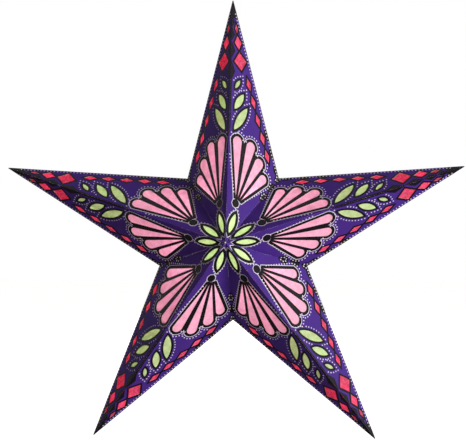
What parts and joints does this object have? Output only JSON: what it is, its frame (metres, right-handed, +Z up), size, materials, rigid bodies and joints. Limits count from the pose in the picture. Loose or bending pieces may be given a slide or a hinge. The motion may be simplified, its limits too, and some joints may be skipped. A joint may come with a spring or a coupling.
{
  "type": "folding paper star lantern",
  "caption": "Five-pointed folding paper star lantern with pierced, tissue-backed card panels, a hanging tab, a cable grommet and an open seam with punched flaps.",
  "frame": {"origin": "centre of the open star, midway between its front and back apex", "axes": "+Z up along the top arm; -Y towards the front; X across the star"},
  "size_m": [0.5964, 0.1692, 0.5673],
  "materials": {
    "card": "purple printed card, matte, 0.3 mm",
    "tissue": "translucent coloured tissue paper, pink, green and crimson",
    "brass": "thin brass eyelet, polished"
  },
  "bodies": {
    "hanger": {"hanger_tab": "card", "hanger_eyelet": "brass"},
    "top_arm_front_left_panel": {"top_arm_front_left_panel": "card", "top_arm_front_left_tissue": "tissue"},
    "top_arm_front_right_panel": {"top_arm_front_right_panel": "card", "top_arm_front_right_tissue": "tissue"},
    "top_arm_back_left_panel": {"top_arm_back_left_panel": "card", "top_arm_back_left_tissue": "tissue", "cable_grommet": "brass"},
    "top_arm_back_right_panel": {"top_arm_back_right_panel": "card", "top_arm_back_right_tissue": "tissue"},
    "upper_left_arm_front_left_panel": {"upper_left_arm_front_left_panel": "card", "upper_left_arm_front_left_tissue": "tissue"},
    "upper_left_arm_front_right_panel": {"upper_left_arm_front_right_panel": "card", "upper_left_arm_front_right_tissue": "tissue", "upper_left_arm_front_glue_flap": "card"},
    "upper_left_arm_back_left_panel": {"upper_left_arm_back_left_panel": "card", "upper_left_arm_back_left_tissue": "tissue"},
    "upper_left_arm_back_right_panel": {"upper_left_arm_back_right_panel": "card", "upper_left_arm_back_right_tissue": "tissue", "upper_left_arm_back_glue_flap": "card"},
    "lower_left_arm_front_left_panel": {"lower_left_arm_front_left_panel": "card", "lower_left_arm_front_left_tissue": "tissue", "seam_front_left_flap": "card"},
    "lower_left_arm_front_right_panel": {"lower_left_arm_front_right_panel": "card", "lower_left_arm_front_right_tissue": "tissue", "lower_left_arm_front_glue_flap": "card"},
    "lower_left_arm_back_left_panel": {"lower_left_arm_back_left_panel": "card", "lower_left_arm_back_left_tissue": "tissue", "seam_back_left_flap": "card"},
    "lower_left_arm_back_right_panel": {"lower_left_arm_back_right_panel": "card", "lower_left_arm_back_right_tissue": "tissue", "lower_left_arm_back_glue_flap": "card"},
    "lower_right_arm_front_left_panel": {"lower_right_arm_front_left_panel": "card", "lower_right_arm_front_left_tissue": "tissue", "lower_right_arm_front_glue_flap": "card"},
    "lower_right_arm_front_right_panel": {"lower_right_arm_front_right_panel": "card", "lower_right_arm_front_right_tissue": "tissue", "seam_front_right_flap": "card"},
    "lower_right_arm_back_left_panel": {"lower_right_arm_back_left_panel": "card", "lower_right_arm_back_left_tissue": "tissue", "lower_right_arm_back_glue_flap": "card"},
    "lower_right_arm_back_right_panel": {"lower_right_arm_back_right_panel": "card", "lower_right_arm_back_right_tissue": "tissue", "seam_back_right_flap": "card"},
    "upper_right_arm_front_left_panel": {"upper_right_arm_front_left_panel": "card", "upper_right_arm_front_left_tissue": "tissue", "upper_right_arm_front_glue_flap": "card"},
    "upper_right_arm_front_right_panel": {"upper_right_arm_front_right_panel": "card", "upper_right_arm_front_right_tissue": "tissue"},
    "upper_right_arm_back_left_panel": {"upper_right_arm_back_left_panel": "card", "upper_right_arm_back_left_tissue": "tissue", "upper_right_arm_back_glue_flap": "card"},
    "upper_right_arm_back_right_panel": {"upper_right_arm_back_right_panel": "card", "upper_right_arm_back_right_tissue": "tissue"}
  },
  "joints": [
    {"name": "top_arm_back_left_fold", "type": "hinge", "parent": "hanger", "child": "top_arm_back_left_panel", "pos_m": [0, 0.085, 0], "axis": [0, -0.2605, 0.9655], "range_deg": [0, 41.46]},
    {"name": "top_arm_back_right_fold", "type": "hinge", "parent": "hanger", "child": "top_arm_back_right_panel", "pos_m": [0, 0.085, 0], "axis": [0, 0.2605, -0.9655], "range_deg": [0, 41.47]},
    {"name": "top_arm_front_left_fold", "type": "hinge", "parent": "top_arm_back_left_panel", "child": "top_arm_front_left_panel", "pos_m": [0, 0, 0.315], "axis": [-0.2482, 0, -0.9687], "range_deg": [0, 79.5]},
    {"name": "top_arm_front_right_fold", "type": "hinge", "parent": "top_arm_front_left_panel", "child": "top_arm_front_right_panel", "pos_m": [0, -0.085, 0], "axis": [0, 0.2605, 0.9655], "range_deg": [0, 82.94]},
    {"name": "upper_left_arm_back_right_fold", "type": "hinge", "parent": "top_arm_back_left_panel", "child": "upper_left_arm_back_right_panel", "pos_m": [0, 0.085, 0], "axis": [0.4506, 0.642, -0.6203], "range_deg": [0, 112.36]},
    {"name": "upper_left_arm_back_left_fold", "type": "hinge", "parent": "upper_left_arm_back_right_panel", "child": "upper_left_arm_back_left_panel", "pos_m": [0, 0.085, 0], "axis": [-0.9182, -0.2605, 0.2983], "range_deg": [0, 82.94]},
    {"name": "upper_left_arm_front_right_fold", "type": "hinge", "parent": "upper_left_arm_back_right_panel", "child": "upper_left_arm_front_right_panel", "pos_m": [-0.29958, 0, 0.09734], "axis": [-0.998, 0, 0.0633], "range_deg": [0, 79.5]},
    {"name": "upper_left_arm_front_left_fold", "type": "hinge", "parent": "upper_left_arm_front_right_panel", "child": "upper_left_arm_front_left_panel", "pos_m": [0, -0.085, 0], "axis": [0.9182, -0.2605, -0.2983], "range_deg": [0, 82.94]},
    {"name": "lower_left_arm_back_right_fold", "type": "hinge", "parent": "upper_left_arm_back_left_panel", "child": "lower_left_arm_back_right_panel", "pos_m": [0, 0.085, 0], "axis": [0.7291, 0.642, 0.2369], "range_deg": [0, 112.36]},
    {"name": "lower_left_arm_back_left_fold", "type": "hinge", "parent": "lower_left_arm_back_right_panel", "child": "lower_left_arm_back_left_panel", "pos_m": [0, 0.085, 0], "axis": [-0.5675, -0.2605, -0.7811], "range_deg": [0, 82.94]},
    {"name": "lower_left_arm_front_right_fold", "type": "hinge", "parent": "lower_left_arm_back_right_panel", "child": "lower_left_arm_front_right_panel", "pos_m": [-0.18515, 0, -0.25484], "axis": [-0.3686, 0, -0.9296], "range_deg": [0, 79.5]},
    {"name": "lower_left_arm_front_left_fold", "type": "hinge", "parent": "lower_left_arm_front_right_panel", "child": "lower_left_arm_front_left_panel", "pos_m": [0, -0.085, 0], "axis": [0.5675, -0.2605, 0.7811], "range_deg": [0, 82.94]},
    {"name": "upper_right_arm_back_left_fold", "type": "hinge", "parent": "top_arm_back_right_panel", "child": "upper_right_arm_back_left_panel", "pos_m": [0, 0.085, 0], "axis": [0.4506, -0.642, 0.6203], "range_deg": [0, 112.36]},
    {"name": "upper_right_arm_back_right_fold", "type": "hinge", "parent": "upper_right_arm_back_left_panel", "child": "upper_right_arm_back_right_panel", "pos_m": [0, 0.085, 0], "axis": [-0.9182, 0.2605, -0.2983], "range_deg": [0, 82.94]},
    {"name": "upper_right_arm_front_left_fold", "type": "hinge", "parent": "upper_right_arm_back_left_panel", "child": "upper_right_arm_front_left_panel", "pos_m": [0.29958, 0, 0.09734], "axis": [-0.998, 0, -0.0633], "range_deg": [0, 79.5]},
    {"name": "upper_right_arm_front_right_fold", "type": "hinge", "parent": "upper_right_arm_front_left_panel", "child": "upper_right_arm_front_right_panel", "pos_m": [0, -0.085, 0], "axis": [0.9182, 0.2605, 0.2983], "range_deg": [0, 82.94]},
    {"name": "lower_right_arm_back_left_fold", "type": "hinge", "parent": "upper_right_arm_back_right_panel", "child": "lower_right_arm_back_left_panel", "pos_m": [0, 0.085, 0], "axis": [0.7291, -0.642, -0.2369], "range_deg": [0, 112.36]},
    {"name": "lower_right_arm_back_right_fold", "type": "hinge", "parent": "lower_right_arm_back_left_panel", "child": "lower_right_arm_back_right_panel", "pos_m": [0, 0.085, 0], "axis": [-0.5675, 0.2605, 0.7811], "range_deg": [0, 82.94]},
    {"name": "lower_right_arm_front_left_fold", "type": "hinge", "parent": "lower_right_arm_back_left_panel", "child": "lower_right_arm_front_left_panel", "pos_m": [0.18515, 0, -0.25484], "axis": [-0.3686, 0, 0.9296], "range_deg": [0, 79.5]},
    {"name": "lower_right_arm_front_right_fold", "type": "hinge", "parent": "lower_right_arm_front_left_panel", "child": "lower_right_arm_front_right_panel", "pos_m": [0, -0.085, 0], "axis": [0.5675, 0.2605, -0.7811], "range_deg": [0, 82.94]}
  ],
  "couplings": [
    {"joint": "top_arm_back_right_fold", "follows": "top_arm_back_left_fold", "ratio": 1},
    {"joint": "top_arm_front_left_fold", "follows": "top_arm_back_left_fold", "ratio": 1.9172},
    {"joint": "top_arm_front_right_fold", "follows": "top_arm_back_left_fold", "ratio": 2},
    {"joint": "upper_left_arm_back_right_fold", "follows": "top_arm_back_left_fold", "ratio": 2.7094},
    {"joint": "upper_left_arm_back_left_fold", "follows": "top_arm_back_left_fold", "ratio": 2},
    {"joint": "upper_left_arm_front_right_fold", "follows": "top_arm_back_left_fold", "ratio": 1.9172},
    {"joint": "upper_left_arm_front_left_fold", "follows": "top_arm_back_left_fold", "ratio": 2},
    {"joint": "lower_left_arm_back_right_fold", "follows": "top_arm_back_left_fold", "ratio": 2.7094},
    {"joint": "lower_left_arm_back_left_fold", "follows": "top_arm_back_left_fold", "ratio": 2},
    {"joint": "lower_left_arm_front_right_fold", "follows": "top_arm_back_left_fold", "ratio": 1.9172},
    {"joint": "lower_left_arm_front_left_fold", "follows": "top_arm_back_left_fold", "ratio": 2},
    {"joint": "upper_right_arm_back_left_fold", "follows": "top_arm_back_left_fold", "ratio": 2.7094},
    {"joint": "upper_right_arm_back_right_fold", "follows": "top_arm_back_left_fold", "ratio": 2},
    {"joint": "upper_right_arm_front_left_fold", "follows": "top_arm_back_left_fold", "ratio": 1.9172},
    {"joint": "upper_right_arm_front_right_fold", "follows": "top_arm_back_left_fold", "ratio": 2},
    {"joint": "lower_right_arm_back_left_fold", "follows": "top_arm_back_left_fold", "ratio": 2.7094},
    {"joint": "lower_right_arm_back_right_fold", "follows": "top_arm_back_left_fold", "ratio": 2},
    {"joint": "lower_right_arm_front_left_fold", "follows": "top_arm_back_left_fold", "ratio": 1.9172},
    {"joint": "lower_right_arm_front_right_fold", "follows": "top_arm_back_left_fold", "ratio": 2}
  ]
}
